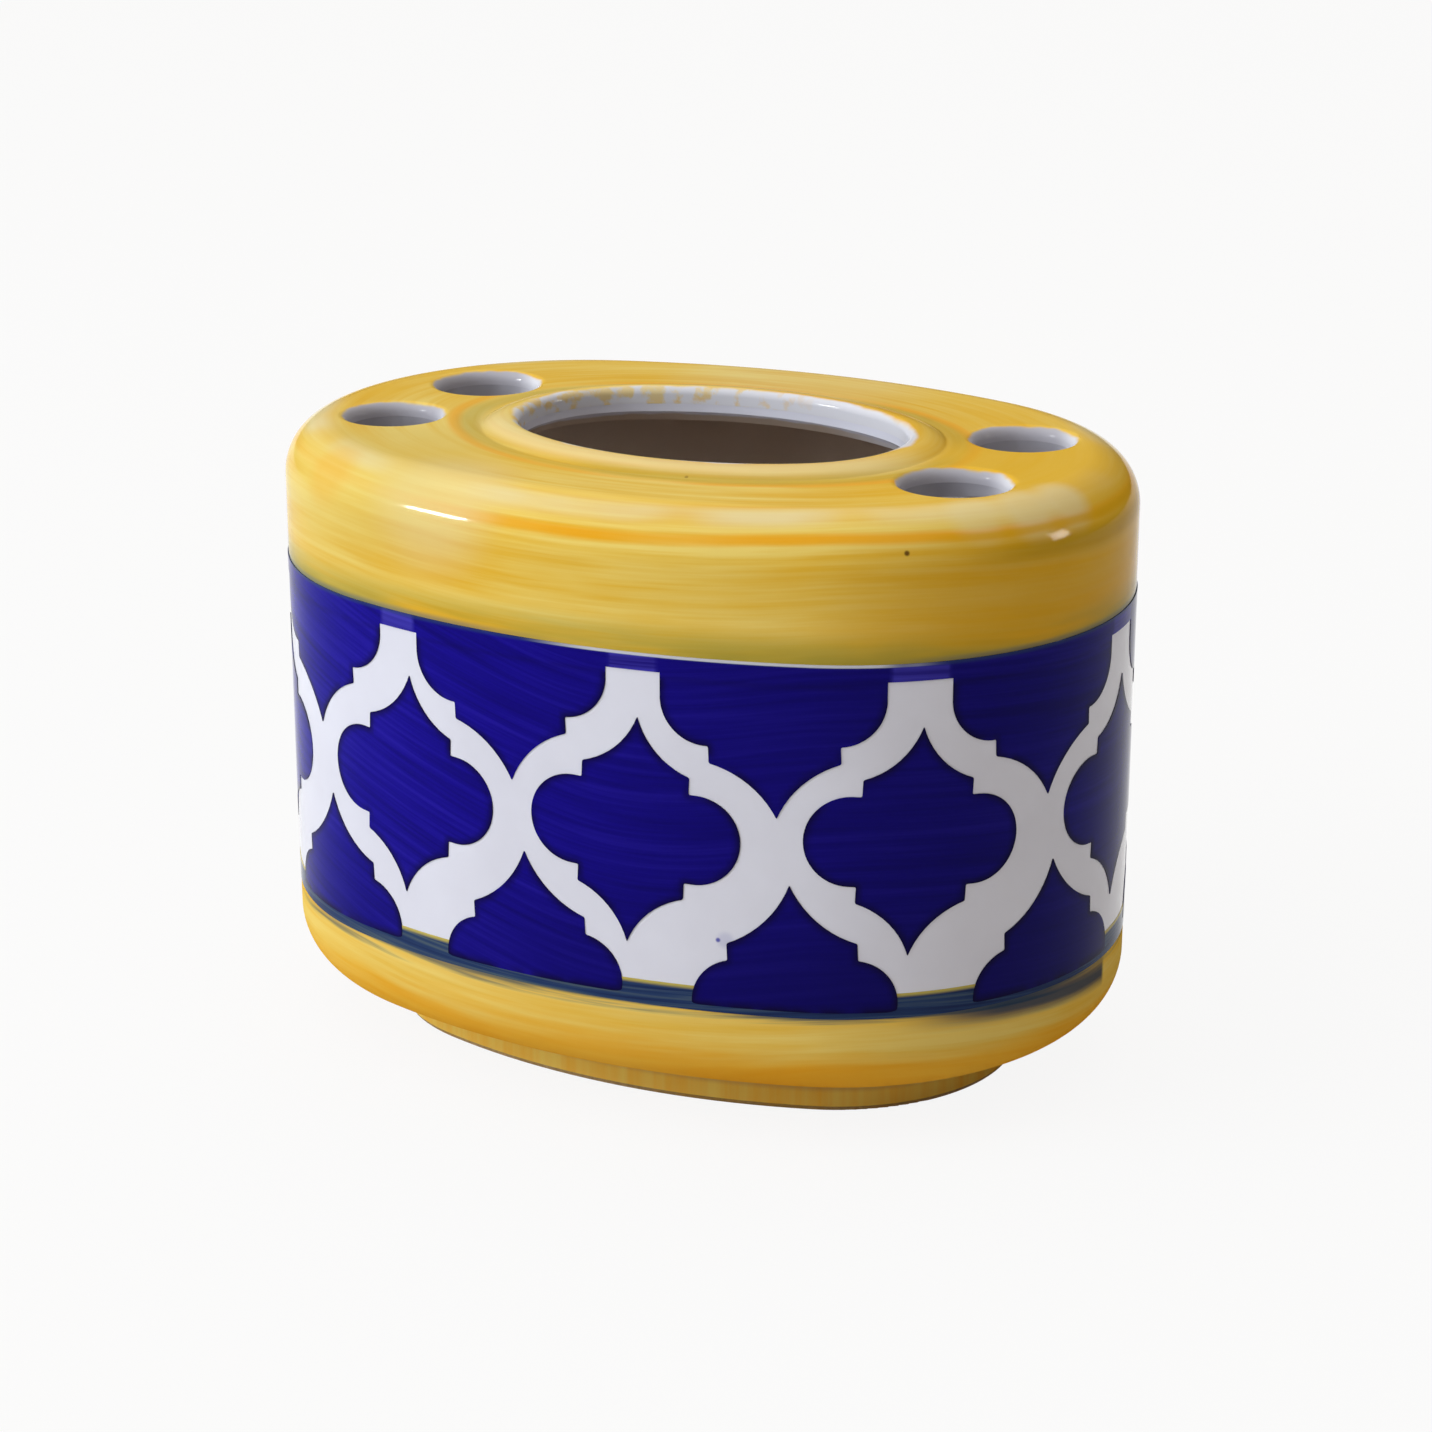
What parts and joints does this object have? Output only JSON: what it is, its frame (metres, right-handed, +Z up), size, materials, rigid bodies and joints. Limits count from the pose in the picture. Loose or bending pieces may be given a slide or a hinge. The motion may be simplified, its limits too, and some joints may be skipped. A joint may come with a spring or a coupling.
{
  "type": "toothbrush holder",
  "caption": "Oval glazed earthenware holder with a central mouth, brush holes at both ends, yellow bands and a blue and white trellis.",
  "frame": {"origin": "middle of the foot's resting face", "axes": "+Z up out of the mouth, +X along the long side, -Y to the front"},
  "size_m": [0.1252, 0.0906, 0.0905],
  "materials": {
    "bisque": "fired earthenware, bare on the resting edge of the foot",
    "white_glaze": "glossy white tin glaze",
    "yellow_glaze": "glossy amber yellow with brush strokes",
    "cobalt_blue": "glossy cobalt painting under clear glaze",
    "cobalt_line": "glossy thinner cobalt brush line"
  },
  "bodies": {
    "root": {"foot_ring": "bisque", "base_bowl": "bisque", "wall_band": "bisque", "top_deck": "bisque", "mouth_collar": "bisque", "white_liner_glaze": "white_glaze", "white_band_glaze": "white_glaze", "yellow_shoulder_glaze": "yellow_glaze", "yellow_base_glaze": "yellow_glaze", "blue_middle_cells": "cobalt_blue", "blue_upper_cells": "cobalt_blue", "blue_lower_cells": "cobalt_blue", "blue_top_line": "cobalt_line", "blue_bottom_line": "cobalt_line"}
  },
  "joints": []
}
